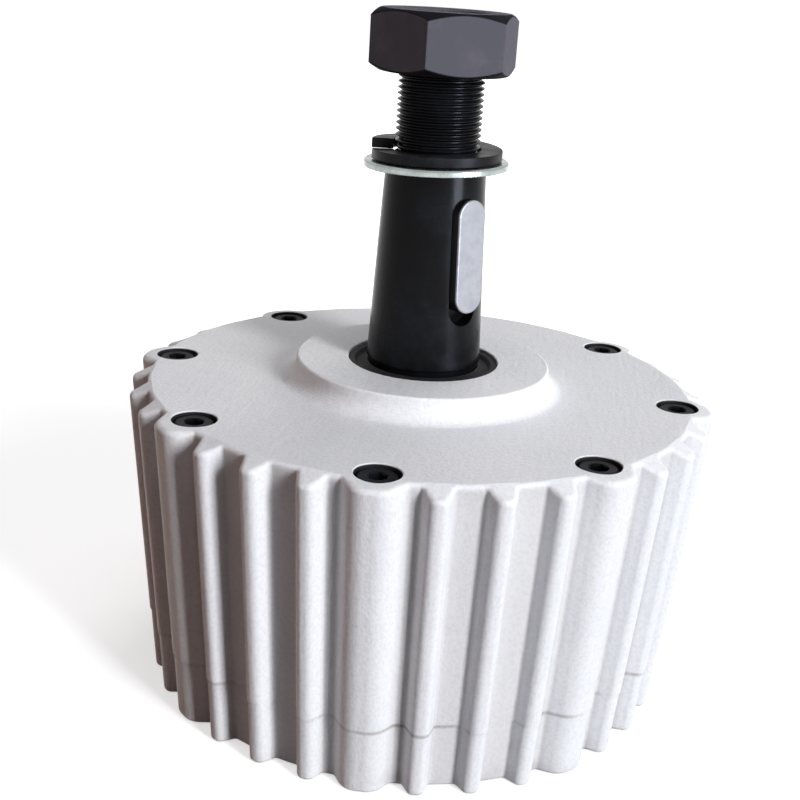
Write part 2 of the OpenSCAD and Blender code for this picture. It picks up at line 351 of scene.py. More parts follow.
    @classmethod
    def cut(cls, piece: Piece, *tools: Piece, kind: str = "DIFFERENCE") -> None:
        """Cuts a piece with closed shapes, which are used up.

        Args:
            piece: The piece.
            *tools: The cutting shapes.
            kind: DIFFERENCE or INTERSECT.
        """
        cls.take(*tools)
        if len(tools) > 1:
            bpy.ops.object.join()
        cls.modify(piece, "BOOLEAN", operation=kind, object=tools[0], solver="EXACT")
        bpy.data.objects.remove(tools[0])

    @classmethod
    def ring_of(cls, first: Piece, count: int) -> list[Piece]:
        """Copies a piece round the axis, each copy with its own mesh.

        Args:
            first: The piece.
            count: How many there are with the first.

        Returns:
            All of them, counter-clockwise from above.
        """
        pieces = [first]
        for index in range(1, count):
            cls.take(first)
            bpy.ops.object.duplicate(linked=False)
            pieces.append(cls.stand(bpy.context.object, degrees=index * 360.0 / count))
        return pieces


def arc(centre: Point2, radius: float, start: float, end: float, steps: int) -> list[Point2]:
    """Gives points along an arc, both ends among them."""
    angles = [radians(start + (end - start) * i / steps) for i in range(steps + 1)]
    return [(centre[0] + radius * cos(a), centre[1] + radius * sin(a)) for a in angles]


def circle(radius: float, count: int, start: float = 0.0) -> list[Point2]:
    """Gives places round the axis, counter-clockwise from above."""
    return arc((0.0, 0.0), radius, start, start + 360.0, count)[:-1]


def hexagon(flats: float, low: float, high: float) -> Piece:
    """Makes a hexagonal bar on the axis, with a corner on +X."""
    corner_r = flats / 2 / cos(radians(30.0))
    return Bench.stand(Bench.turned([(corner_r, low), (corner_r, high)], 6), degrees=30.0)


def spin(degrees: float) -> Matrix:
    """Gives the turn about the axis, seen from above."""
    return Matrix.Rotation(radians(degrees), 2)


class Assembly:
    """A sub-assembly, all of which rides on one body."""

    body: ClassVar[Body] = Body.HOUSING

    def dress(
        self, piece: Piece, name: str, finish: Finish, node: str, crease: float = 32.0,
        weighted: bool = True,
    ) -> None:
        """Shades a finished piece, names it, gives it its material, hangs it on its body and hides the
        CAD node that it replaces.

        Args:
            piece: The piece.
            name: Its name.
            finish: Its finish, whose material it gets.
            node: The CAD node that it replaces.
            crease: Edges sharper than this stay sharp.
            weighted: Whether large faces rule the normals beside them.
        """
        Bench.take(named(piece, name))
        bpy.ops.object.shade_smooth_by_angle(angle=radians(crease))
        if weighted:
            Bench.modify(piece, "WEIGHTED_NORMAL", keep_sharp=True, weight=80)
        piece.data.materials.clear()
        piece.data.materials.append(finish.material())
        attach(piece, self.body.value)
        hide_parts(node)
        LOG.info("%s: %d faces, rides on %s", name, len(piece.data.polygons), self.body.value)


@dataclass(frozen=True)
class Spot:
    """A point on an outline seen along the shaft, with its outward normal."""

    place: Vector
    normal: Vector
    rounding: float
    slope: float = 0.0

    def moved(self, by: Matrix) -> Spot:
        """Returns the spot turned or mirrored by a matrix."""
        return replace(self, place=by @ self.place, normal=by @ self.normal)


@dataclass(frozen=True)
class Rib:
    """One rib or bolt boss, as an outline seen along the shaft."""

    base: float
    width: float
    tip_r: float
    nose_r: float
    root_r: float
    rounding: float
    slope: float
    nose_steps: int = 6
    root_steps: int = 4
    blend: float = 3.0
    wall_r: float = 100.0

    @property
    def lean(self) -> float:
        """Angle between its side and its middle line, in radians."""
        return atan2((self.base - self.width) / 2, self.tip_r - self.wall_r)

    @property
    def root(self) -> Vector:
        """Centre of the hollow where its side on +Y meets the wall."""
        out, along = [Vector((sin(a), cos(a))) for a in (self.lean, self.lean + pi / 2)]
        beside = Vector((self.tip_r, self.width / 2)).dot(out) + self.root_r
        return out * beside + along * sqrt((self.wall_r + self.root_r) ** 2 - beside**2)

    @property
    def reach(self) -> float:
        """Angle from its middle to where its root meets the wall."""
        return math.degrees(atan2(self.root.y, self.root.x))

    def outline(self, wall_rounding: float) -> list[Spot]:
        """Draws it pointing along +X, from its root on -Y to its root on +Y.

        Args:
            wall_rounding: Rounding of the wall's edge beside it.

        Returns:
            The spots of the outline.
        """
        lean, root = self.lean, self.root
        turn = 90.0 - math.degrees(lean)
        inward = self.nose_r * (1.0 - sin(lean)) / cos(lean)
        nose = Vector((self.tip_r - self.nose_r, self.width / 2 - inward))
        side = []
        for point in arc(tuple(nose), self.nose_r, 0.0, turn, self.nose_steps):
            side.append((Vector(point), (Vector(point) - nose).normalized()))
        end = 180.0 + self.reach
        for point in arc(tuple(root), self.root_r, 180.0 + turn, end, self.root_steps):
            side.append((Vector(point), (root - Vector(point)).normalized()))
        spots = []
        for place, normal in side:
            share = min(1.0, max(0.0, (place.length - self.wall_r) / self.blend))
            rounding = wall_rounding + (self.rounding - wall_rounding) * share
            spots.append(Spot(place, normal, rounding, self.slope))
        return [spot.moved(Matrix.Diagonal((1.0, -1.0))) for spot in reversed(spots)] + spots


class Rim(Enum):
    """How a length of the ribbed wall ends."""

    SHOULDER = "rib tops that slope down outside the flat face"
    SEAM = "a flat face with a small edge"
    FOOT = "a flat face with a rounded edge"


@dataclass(frozen=True)
class RibbedCasting:
    """The ribbed wall that both housings share, and where its screws stand."""

    face_z: float = 113.0
    seam_z: float = 24.5
    wall_r: float = Rib.wall_r
    draft: float = 4.26
    bosses: int = 8
    ribs_between: int = 3
    wall_rounding: float = 1.5
    seam_rounding: float = 0.35
    foot_rounding: float = 1.6
    round_steps: int = 4
    root_points: int = 6
    rib: Rib = Rib(
        base=10.2, width=5.2, tip_r=106.5, nose_r=3.1, root_r=1.2, rounding=2.1, slope=0.40
    )
    boss: Rib = Rib(
        base=20.4, width=11.4, tip_r=107.1, nose_r=8.2, root_r=1.6, rounding=2.2, slope=0.10,
        nose_steps=12,
    )
    screw_circle_r: float = 94.0
    counterbore_r: float = 7.5
    head_seat_z: float = 104.0
    screw_end_z: float = 14.0

    @property
    def edge_r(self) -> float:
        """Radius where the flat face ends at its rounded edge."""
        return self.wall_r - self.wall_rounding

    @property
    def taper(self) -> float:
        """How fast the wall narrows downwards."""
        return tan(radians(self.draft))

    def shape(self, index: int) -> Rib:
        """Returns the rib or boss at a place in the row, a boss being at 0."""
        return self.rib if index % (self.ribs_between + 1) else self.boss

    def sector(self) -> list[Spot]:
        """Draws one boss and the ribs up to the next, from wall to wall.

        Returns:
            The spots of the outline.
        """
        spots: list[Spot] = []
        pitch = 360.0 / self.bosses / (self.ribs_between + 1)
        wall = Spot(Vector((self.wall_r, 0.0)), Vector((1.0, 0.0)), self.wall_rounding)
        for index in range(self.ribs_between + 1):
            shape, before = self.shape(index), self.shape(index - 1)
            gap = (before.reach - shape.reach - pitch) / 2
            spots.append(wall.moved(spin(index * pitch + gap)))
            spots += [s.moved(spin(index * pitch)) for s in shape.outline(self.wall_rounding)]
        return [*spots, spots[0].moved(spin(360.0 / self.bosses))]

    def ring(self, level: float, rim: Rim, phase: float, inset: float, down: bool) -> list[Point3]:
        """Draws one line along the sector, part of the way round its rounded edge.

        Args:
            level: Height of the flat face.
            rim: How the wall ends there.
            phase: 0 on the wall, 90 on the flat face.
            inset: How much smaller the wall is than its draft makes it.
            down: Whether the flat face looks down.

        Returns:
            The points of the line.
        """
        across, along = 1.0 - cos(radians(phase)), 1.0 - sin(radians(phase))
        flat = {Rim.SEAM: self.seam_rounding, Rim.FOOT: self.foot_rounding}
        line = []
        for spot in self.sector():
            width = flat.get(rim, spot.rounding)
            drop = 0.0
            if rim is Rim.SHOULDER:
                inner = (spot.place - spot.normal * width).length
                drop = spot.slope * max(0.0, inner - self.edge_r)
            z = level + width * along if down else level - drop - width * along
            below = self.face_z - (z if down else z + drop * 0.5)
            size = 1.0 - (below * self.taper + inset) / self.wall_r
            place = spot.place * size - spot.normal * width * across
            line.append((place.x, place.y, z))
        return line

    def wall(
        self, top: tuple[float, Rim], bottom: tuple[float, Rim], inset: float = 0.0
    ) -> Piece:
        """Makes the ribbed wall between two heights, with rounded edges.

        Args:
            top: Height of its upper face and how the wall ends there.
            bottom: The same for its lower face.
            inset: How much smaller it is than the draft makes it.

        Returns:
            The wall, in edit mode, with its flat faces still open.
        """
        piece = Bench.start()
        phases = [90.0 * i / self.round_steps for i in range(self.round_steps + 1)]
        lines = [self.ring(*bottom, phase, inset, True) for phase in reversed(phases)]
        lines += [self.ring(*top, phase, inset, False) for phase in phases]
        for line in lines:
            Bench.path(line)
        for one, two in itertools.pairwise(lines):
            Bench.pick([*one, *two])
            bpy.ops.mesh.bridge_edge_loops()
        if top[1] is Rim.SHOULDER:
            self.rib_tops(lines[-1])
        bpy.ops.mesh.select_all(action="SELECT")
        bpy.ops.mesh.spin(
            steps=self.bosses, dupli=True, angle=2 * pi, center=ORIGIN, axis=(0.0, 0.0, 1.0)
        )
        Bench.heal(NEAR)
        return piece

    def rib_tops(self, line: Sequence[Point3]) -> None:
        """Fills the top of each rib of the sector, up to the flat face's edge.

        Args:
            line: The innermost line of the wall's upper edge.
        """
        start = 1
        for index in range(self.ribs_between + 1):
            shape = self.shape(index)
            count = 2 * (shape.nose_steps + shape.root_steps + 2)
            outline = line[start : start + count]
            x, y, z = outline[0]
            first, last = [math.degrees(atan2(p[1], p[0])) for p in (outline[0], outline[-1])]
            middle = arc((0.0, 0.0), hypot(x, y), first, last, self.root_points)
            root = [(*place, z) for place in middle]
            Bench.path(root)
            Bench.pick([outline[0], outline[-1]])
            bpy.ops.mesh.remove_doubles(threshold=NEAR * MM)
            Bench.pick([*outline, *root])
            bpy.ops.mesh.edge_face_add()
            bpy.ops.mesh.quads_convert_to_tris(ngon_method="BEAUTY")
            Bench.pick(root)
            bpy.ops.mesh.mark_sharp()
            start += count + 1


CASTING = RibbedCasting()


@dataclass(frozen=True)
class FrontHousing(Assembly):
    """The front casting: ribbed wall, flat face, hub ring, bore and counterbores."""

    hub_r: float = 46.5
    hub_top_z: float = 121.6
    hub_root_r: float = 6.0
    hub_round: float = 0.9
    seal_r: float = 27.5
    seal_depth: float = 9.0
    seal_mouth: float = 0.6
    seal_shelf: float = 2.0
    bearing_r: float = 34.0
    bearing_top_z: float = 108.0
    screw_hole_r: float = 4.5
    rim_flare: float = 0.4

    def face_and_hub(self) -> None:
        """Extrudes the flat face, the hub ring and the seal's seat inwards."""
        face_z, top, lip, mouth = CASTING.face_z, self.hub_top_z, self.hub_round, self.seal_mouth
        foot_r = self.hub_r + self.hub_root_r
        rings = [(r, face_z) for r in (CASTING.edge_r, CASTING.edge_r - 3.0, foot_r + 4.0)]
        rings += arc((foot_r, face_z + self.hub_root_r), self.hub_root_r, 270.0, 184.0, 8)
        rings += arc((self.hub_r - lip, top - lip), lip, 2.0, 90.0, 4)
        rings += arc((self.seal_r + mouth, top - mouth), mouth, 90.0, 180.0, 3)
        rings.append((self.seal_r, top - self.seal_depth))
        Bench.pick_level(face_z)
        Bench.grow(rings)
        bpy.ops.mesh.edge_face_add()

    def counterbore(self) -> Piece:
        """Makes the shape that cuts the first screw's hole.

        Returns:
            The cutting shape, with a flared rim.
        """
        hole_r, seat_z, r = self.screw_hole_r, CASTING.head_seat_z, CASTING.counterbore_r
        face_z, flare = CASTING.face_z, self.rim_flare
        rings = [
            (hole_r, CASTING.seam_z - 2 * SPARE), (hole_r, seat_z), (r, seat_z),
            (r, face_z - flare - 0.25), (r + 0.12, face_z - flare + 0.1),
            (r + flare, face_z + 0.01), (r + flare + SPARE, face_z + 2 * SPARE),
        ]
        return Bench.turned(rings, 64, at=(CASTING.screw_circle_r, 0.0))

    def build(self) -> None:
        """Makes and dresses the casting."""
        top, bottom = (CASTING.face_z, Rim.SHOULDER), (CASTING.seam_z, Rim.SEAM)
        piece = CASTING.wall(top, bottom)
        self.face_and_hub()
        Bench.cap(CASTING.seam_z)
        Bench.heal()
        shelf_r, seat_z = self.seal_r - self.seal_shelf, self.hub_top_z - self.seal_depth
        bore = [
            (self.bearing_r, CASTING.seam_z - 2 * SPARE), (self.bearing_r, self.bearing_top_z),
            (shelf_r, self.bearing_top_z), (shelf_r, seat_z + 2 * SPARE),
        ]
        tools = Bench.ring_of(self.counterbore(), CASTING.bosses)
        Bench.cut(piece, *tools, Bench.turned(bore))
        self.dress(piece, "front_casting", PAINT, "front_housing")


@dataclass(frozen=True)
class RearHousing(Assembly):
    """The rear casting: the foot of the ribbed wall, with its seats and holes."""

    seam_step: float = 0.4
    shelf_hole_r: float = 25.67
    bearing_r: float = 31.0
    bearing_top_z: float = 21.0
    cap_r: float = 45.2
    cap_depth: float = 5.0
    cap_flare: float = 0.6
    hole_circle_r: float = 67.0
    mount_r: float = 4.25
    mount_depth: float = 18.0
    mount_flare: float = 0.9
    mount_turn: float = 45.0
    outlet_r: float = 9.0
    outlet_depth: float = 11.6
    outlet_flare: float = 0.8
    cap_screw_circle_r: float = 38.0
    cap_screw_r: float = 2.52
    cap_screw_depth: float = 19.0
    screw_r: float = 4.02

    @staticmethod
    def hole(radius: float, depth: float, flare: float, at: Point2) -> Piece:
        """Makes the shape that cuts a hole from below, with a flared mouth.

        Args:
            radius: Radius of the hole.
            depth: Depth of the hole.
            flare: Width of its flared mouth.
            at: Where it stands, seen from above.

        Returns:
            The cutting shape.
        """
        wide = radius + flare
        rings = [(wide + SPARE, -SPARE), (wide, 0.0), (radius, flare), (radius, depth)]
        return Bench.turned(rings, 64, at=at)

    def build(self) -> None:
        """Makes and dresses the casting."""
        seam_z, shelf_z = CASTING.seam_z, self.bearing_top_z
        piece = CASTING.wall((seam_z, Rim.SEAM), (0.0, Rim.FOOT), self.seam_step)
        for level in (0.0, seam_z):
            Bench.cap(level)
        Bench.heal()
        tools = [
            self.hole(self.cap_r, self.cap_depth, self.cap_flare, (0.0, 0.0)),
            self.hole(
                self.outlet_r, self.outlet_depth, self.outlet_flare, (0.0, self.hole_circle_r)
            ),
        ]
        for at in circle(self.hole_circle_r, 4, self.mount_turn):
            tools.append(self.hole(self.mount_r, self.mount_depth, self.mount_flare, at))
        Bench.cut(piece, *tools)
        bore = [
            (self.bearing_r, self.cap_depth - 2 * SPARE), (self.bearing_r, shelf_z),
            (self.shelf_hole_r, shelf_z), (self.shelf_hole_r, seam_z + 2 * SPARE),
        ]
        tools = [Bench.turned(bore)]
        for at in circle(self.cap_screw_circle_r, 4):
            tools.append(self.hole(self.cap_screw_r, self.cap_screw_depth, 0.0, at))
        rings = [(self.screw_r, CASTING.screw_end_z), (self.screw_r, seam_z + 2 * SPARE)]
        for at in circle(CASTING.screw_circle_r, CASTING.bosses):
            tools.append(Bench.turned(rings, 48, at=at))
        Bench.cut(piece, *tools)
        self.dress(piece, "rear_casting", PAINT, "rear_housing")


@dataclass(frozen=True)
class HousingScrews(Assembly):
    """The socket screws that close the housing, sunk in their counterbores."""

    top_z: float = 112.0
    shank_r: float = 4.0
    end_chamfer: float = 0.7
    head_r: float = 6.5
    head_round: float = 0.8
    socket_flats: float = 6.0
    socket_depth: float = 4.0

    def build(self) -> None:
        """Makes one screw, copies it round the axis and dresses them all."""
        shank, head, top = self.shank_r, self.head_r, self.top_z
        low, seat, edge = CASTING.screw_end_z, CASTING.head_seat_z, self.head_round
        rings = [
            (shank - self.end_chamfer, low), (shank, low + self.end_chamfer), (shank, seat - 0.3),
            (shank + 0.3, seat), (head - 0.2, seat), (head, seat + 0.2),
        ]
        rings += arc((head - edge, top - edge), edge, 0.0, 90.0, 4)
        first = Bench.turned([*rings, (self.socket_flats / 2 + 0.9, top)], 64)
        socket = hexagon(self.socket_flats, top - self.socket_depth, top + SPARE)
        mouth_r = self.socket_flats / 2 / cos(radians(30.0))
        rings = [(mouth_r - 0.6, top - 0.7), (mouth_r + 0.1, top), (mouth_r + 1.1, top + SPARE)]
        Bench.cut(first, socket)
        Bench.cut(first, Bench.turned(rings, 48))
        Bench.stand(first, (CASTING.screw_circle_r, 0.0))
        for index, screw in enumerate(Bench.ring_of(first, CASTING.bosses), 1):
            self.dress(screw, f"housing_screw_head_{index}", SCREW_BLACK, f"housing_screw_{index}")


@dataclass(frozen=True)
class ShaftSeal(Assembly):
    """The rubber lip seal in the hub, round the shaft."""

    bottom_z: float = FrontHousing.hub_top_z - FrontHousing.seal_depth
    top_z: float = 120.6
    outer_r: float = FrontHousing.seal_r - 0.02
    shaft_r: float = 20.05

    def build(self) -> None:
        """Makes and dresses the seal."""
        top, low, out, lip = self.top_z, self.bottom_z, self.outer_r, self.shaft_r
        rings = [(lip + 0.5, low), (out - 0.4, low), (out, low + 0.4)]
        rings += arc((out - 0.5, top - 0.5), 0.5, 0.0, 90.0, 3)
        rings += [(out - 1.9, top)] + arc((out - 1.9, top - 0.6), 0.6, 90.0, 150.0, 2)
        rings += [(out - 3.2, top - 1.5), (lip + 2.6, top - 1.6), (lip + 1.6, top - 1.2)]
        rings += arc((lip + 0.45, top - 0.75), 0.45, 80.0, 190.0, 5)
        rings += [(lip + 0.6, top - 2.6), (lip, top - 3.6), (lip + 0.5, top - 4.4), (lip + 0.5, low)]
        self.dress(Bench.turned(rings, closed=True), "lip_seal", RUBBER, "shaft_seal")


@dataclass(frozen=True)
class RearCover(Assembly):
    """The bearing cap in the rear face, its countersunk screws and the grommet."""

    cap_r: float = 45.0
    cap_low_z: float = 0.6
    cap_top_z: float = RearHousing.cap_depth
    screw_circle_r: float = RearHousing.cap_screw_circle_r
    screw_r: float = 2.5
    head_r: float = 4.8
    screw_end_z: float = RearHousing.cap_screw_depth
    screw_count: int = 4
    slot_size: Point3 = (4.6, 1.0, 2.6)
    slot_floor: float = 0.7
    hole_circle_r: float = RearHousing.hole_circle_r
    grommet_r: float = 8.98
    grommet_bore_r: float = 5.5
    grommet_top_z: float = RearHousing.outlet_depth

    def cap(self) -> None:
        """Makes and dresses the cap, with countersunk holes and a dished middle."""
        low, top, edge = self.cap_low_z, self.cap_top_z, 0.9
        rings = [(22.0, low + 0.9), (23.6, low + 0.5), (25.0, low)]
        rings += arc((self.cap_r - edge, low + edge), edge, 270.0, 360.0, 4)
        rings += [(self.cap_r, top - 0.3), (self.cap_r - 0.3, top)]
        piece = Bench.turned(rings)
        head, shank = self.head_r + 0.1, self.screw_r + 0.1
        rings = [
            (head + SPARE, low - SPARE), (head, low), (shank, low + head - shank), (shank, top + SPARE),
        ]
        places = circle(self.screw_circle_r, self.screw_count)
        Bench.cut(piece, *[Bench.turned(rings, 48, at=at) for at in places])
        self.dress(piece, "bearing_cap_disc", ZINC, "rear_bearing_cap")

    def screws(self) -> None:
        """Makes and dresses the countersunk screws with their cross slots."""
        low, end, head, shank = self.cap_low_z, self.screw_end_z, self.head_r, self.screw_r
        rings = [
            (head - 0.5, low), (head, low + 0.25), (shank, low + 0.25 + head - shank),
            (shank, end - 0.5), (shank - 0.5, end),
        ]
        first = Bench.turned(rings, 48)
        for degrees in (0.0, 90.0):
            Bench.clear()
            bpy.ops.mesh.primitive_cube_add(
                size=1.0, location=(0.0, 0.0, low * MM), rotation=(0.0, 0.0, radians(degrees))
            )
            tool = bpy.context.object
            tool.scale = [side * MM for side in self.slot_size]
            Bench.open(Bench.settle(tool))
            Bench.select("VERT", lambda vertex: vertex.co.z > low * MM)
            Bench.scale((self.slot_floor, self.slot_floor, 1.0))
            Bench.cut(first, tool)
        Bench.stand(first, (self.screw_circle_r, 0.0))
        for index, screw in enumerate(Bench.ring_of(first, self.screw_count), 1):
            self.dress(screw, f"cap_screw_head_{index}", SCREW_BLACK, f"cap_screw_{index}")

    def grommet(self) -> None:
        """Makes and dresses the cable grommet with its rounded mouth."""
        low, top, bore, out = self.cap_low_z, self.grommet_top_z, self.grommet_bore_r, self.grommet_r
        rings = arc((bore + 1.2, low + 1.2), 1.2, 180.0, 270.0, 4)
        rings += arc((out - 0.5, low + 0.5), 0.5, 270.0, 360.0, 3)
        rings += [(out, top - 0.3), (out - 0.3, top), (bore, top), (bore, low + 1.2)]
        piece = Bench.turned(rings, 64, True, (0.0, self.hole_circle_r))
        self.dress(piece, "outlet_grommet", RUBBER, "cable_grommet")

    def build(self) -> None:
        """Makes and dresses all its pieces."""
        self.cap()
        self.screws()
        self.grommet()


@dataclass(frozen=True)
class Bearings(Assembly):
    """The two ball bearings, whose CAD nodes stay."""

    names: tuple[str, ...] = ("front_bearing", "rear_bearing")

    def build(self) -> None:
        """Gives the nodes a new finish."""
        for name in self.names:
            node = bpy.data.objects[name]
            node.data.materials.clear()
            node.data.materials.append(BEARING.material())
            LOG.info("%s: the CAD node stays, with a new finish", name)


@dataclass(frozen=True)
class Shaft(Assembly):
    """The tapered shaft with its keyway, its key and its threaded end."""

    body: ClassVar[Body] = Body.ROTOR
    rear_r: float = 15.0
    rear_z: float = 6.0
    journal_z: float = 21.0
    journal_r: float = 19.992
    foot_z: float = 123.5
    foot_r: float = 20.792
    shoulder_z: float = 191.5
    shoulder_r: float = 17.8
    thread_r: float = 15.0
    thread_root_r: float = 13.7
    thread_pitch: float = 2.0
    crest: float = 0.05
    end_z: float = 243.8
    end_chamfer: float = 1.2
    key_turn: float = 318.0
    key_w: float = 12.0
    key_len: float = 40.0
    key_h: float = 8.0
    key_chamfer: float = 0.7
    keyway_depth: float = 5.2
    keyway_top_z: float = 183.8
    keyway_spare: float = 5.0
    key_room: float = 0.05

    @property
    def slope(self) -> float:
        """How fast the taper narrows upwards."""
        return (self.foot_r - self.shoulder_r) / (self.shoulder_z - self.foot_z)

    def key_block(self, width: float, length: float, height: float, top_z: float) -> Piece:
        """Makes a round-ended block on the keyway's floor, facing outwards.

        Args:
            width: Its width across the shaft.
            length: Its length along the shaft.
            height: Its height from the keyway's floor.
            top_z: Height of its upper end.

        Returns:
            The block, flat along +X and standing along +Z, with a placing
            matrix still to be settled.
        """
        Bench.clear()
        middle = (0.0, 0.0, (height / 2 - self.keyway_depth) * MM)
        bpy.ops.mesh.primitive_cylinder_add(
            vertices=64, radius=width / 2 * MM, depth=height * MM, location=middle
        )
        block = Bench.settle(bpy.context.object)
        Bench.open(block)
        for side in (-1.0, 1.0):
            Bench.select("VERT", lambda vertex: vertex.co.x * side > NEAR * MM)
            bpy.ops.transform.translate(value=(side * (length - width) / 2 * MM, 0.0, 0.0))
        Bench.clear()
        middle_z = top_z - length / 2
        surface_r = self.foot_r - (middle_z - self.foot_z) * self.slope
        block.matrix_world = (
            Matrix.Rotation(radians(self.key_turn), 4, "Z")
            @ Matrix.Translation((surface_r * MM, 0.0, middle_z * MM))
            @ Matrix.Rotation(radians(90.0) - atan(self.slope), 4, "Y")
        )
        return block

    def turned_body(self) -> None:
        """Makes and dresses the shaft up to the washers' shoulder, with its keyway."""
        rear, journal, foot, end = self.rear_r, self.journal_r, self.foot_z, self.shoulder_z
        rings = [
            (rear - 1.0, self.rear_z), (rear, self.rear_z + 1.0), (rear, self.journal_z),
            (journal - 0.6, self.journal_z), (journal, self.journal_z + 0.6),
            (journal, foot - 1.6), (journal + 0.25, foot - 1.5),
        ]
        rings += arc((self.foot_r - 0.9, foot - 0.6), 0.9, 290.0, 362.0, 5)
        for inward, below in ((-0.55, 12.5), (-0.02, 0.5), (0.5, 0.0)):
            rings.append((self.shoulder_r - inward, end - below))
        piece = Bench.turned(rings)
        width, length = self.key_w + 2 * self.key_room, self.key_len + 2 * self.key_room
        length += self.keyway_spare
        tool = self.key_block(width, length, 2 * self.foot_r, self.keyway_top_z)
        Bench.cut(piece, Bench.settle(tool))
        self.dress(piece, "tapered_shaft", SHAFT_BLACK, "shaft")

    def key(self) -> None:
        """Makes and dresses the key, with a chamfer round its outer face."""
        top_z = self.keyway_top_z - self.key_room
        piece = self.key_block(self.key_w, self.key_len, self.key_h, top_z)
        Bench.open(piece)
        Bench.pick_level(self.key_h - self.keyway_depth, faces=2)
        bpy.ops.mesh.bevel(offset=self.key_chamfer * MM, segments=2, profile=0.5)
        self.dress(Bench.settle(piece), "round_ended_key", KEY_STEEL, "shaft_key")

    def thread(self) -> None:
        """Makes and dresses the threaded end, one wound profile, cut to length."""
        pitch, low, end, root = self.thread_pitch, self.shoulder_z, self.end_z, self.thread_root_r
        start_z, crest, flank = low - 1.5 * pitch, self.thread_r, self.thread_r - self.crest
        tooth = (
            (root, 0.0), (root, 0.15), (flank, 0.50), (crest, 0.55), (crest, 0.62), (flank, 0.66),
            (root, 1.0),
        )
        piece = Bench.start()
        Bench.path([(r, 0.0, start_z + share * pitch) for r, share in tooth])
        Bench.wind(piece, 360.0, pitch, ceil((end - start_z) / pitch) + 2, 80)
        Bench.merge(0.005)
        for level, upper in ((low, False), (end, True)):
            bpy.ops.mesh.select_all(action="SELECT")
            bpy.ops.mesh.bisect(
                plane_co=(0.0, 0.0, level * MM), plane_no=(0.0, 0.0, 1.0),
                clear_outer=upper, clear_inner=not upper, threshold=0.0001 * MM,
            )
            Bench.cap(level)
        Bench.heal()
        wide, tip = self.thread_r + 2.0, self.thread_r - self.end_chamfer
        rings = [
            (wide, low - SPARE), (wide, end - self.end_chamfer - 2.0), (tip, end),
            (tip - SPARE, end + SPARE),
        ]
        Bench.cut(piece, Bench.turned(rings, 96), kind="INTERSECT")
        self.dress(piece, "threaded_end", SHAFT_BLACK, "shaft", 40.0, weighted=False)

    def build(self) -> None:
        """Makes and dresses all its pieces."""
        self.turned_body()
        self.thread()
        self.key()


SHAFT = Shaft()


@dataclass(frozen=True)
class Washers(Assembly):
    """The flat washer and the spring lock washer on the thread."""

    body: ClassVar[Body] = Body.ROTOR
    flat_inner_r: float = 15.6
    flat_outer_r: float = 25.5
    flat_t: float = 2.5
    flat_tilt: float = 1.8
    flat_low_side: float = 186.6
    lock_inner_r: float = 15.4
    lock_outer_r: float = 23.0
    lock_t: float = 3.5
    lock_edge: float = 0.35
    lock_rise: float = 3.2
    gap: float = 0.1
    split_turn: float = 192.0
    split: float = 8.0

    def flat(self) -> None:
        """Makes and dresses the flat washer, leaning on the shaft's shoulder."""
        inner, outer, t = self.flat_inner_r, self.flat_outer_r, self.flat_t
        rings = arc((outer - 0.35, 0.35), 0.35, 270.0, 360.0, 3)
        rings += arc((outer - 0.9, t - 0.9), 0.9, 0.0, 90.0, 5)
        rings += arc((inner + 0.5, t - 0.5), 0.5, 90.0, 180.0, 3)
        rings += [(inner, 0.2), (inner + 0.2, 0.0), (outer - 0.35, 0.0)]
        piece = Bench.turned(rings, closed=True)
        low_side = Matrix.Rotation(radians(self.flat_low_side), 3, "Z")
        across = low_side @ Vector((0.0, 1.0, 0.0))
        rest = low_side @ Vector((SHAFT.shoulder_r * MM, 0.0, 0.0))
        piece.matrix_world = (
            Matrix.Translation(Vector((0.0, 0.0, SHAFT.shoulder_z * MM)) + rest)
            @ Matrix.Rotation(radians(self.flat_tilt), 4, across)
            @ Matrix.Translation(-rest)
        )
        self.dress(Bench.settle(piece), "zinc_washer", ZINC, "flat_washer")

    def lock(self) -> None:
        """Makes and dresses the lock washer: a square section wound up one turn."""
        edge, low = self.lock_edge, SHAFT.shoulder_z + self.flat_t + self.gap + self.lock_edge
        high = low + self.lock_t - 2 * edge
        inner, outer = self.lock_inner_r + edge, self.lock_outer_r - edge
        section = []
        for quarter, corner in enumerate([(outer, low), (outer, high), (inner, high), (inner, low)]):
            start = 270.0 + 90.0 * quarter
            section += arc(corner, edge, start, start + 90.0, 2)
        section.append(section[0])
        sweep = 360.0 - self.split
        piece = Bench.start()
        ends = []
        for turn, rise in ((0.0, 0.0), (sweep, self.lock_rise)):
            a = radians(self.split_turn + self.split / 2 + turn)
            ends.append([(r * cos(a), r * sin(a), z + rise) for r, z in section])
        Bench.path(ends[0])
        Bench.merge(0.005)
        Bench.wind(piece, sweep, self.lock_rise, 1, 96)
        for end in ends:
            Bench.pick(end)
            bpy.ops.mesh.edge_face_add()
        Bench.heal()
        self.dress(piece, "spring_lock_washer", WASHER_BLACK, "lock_washer", 40.0)

    def build(self) -> None:
        """Makes and dresses both washers."""
        self.flat()
        self.lock()


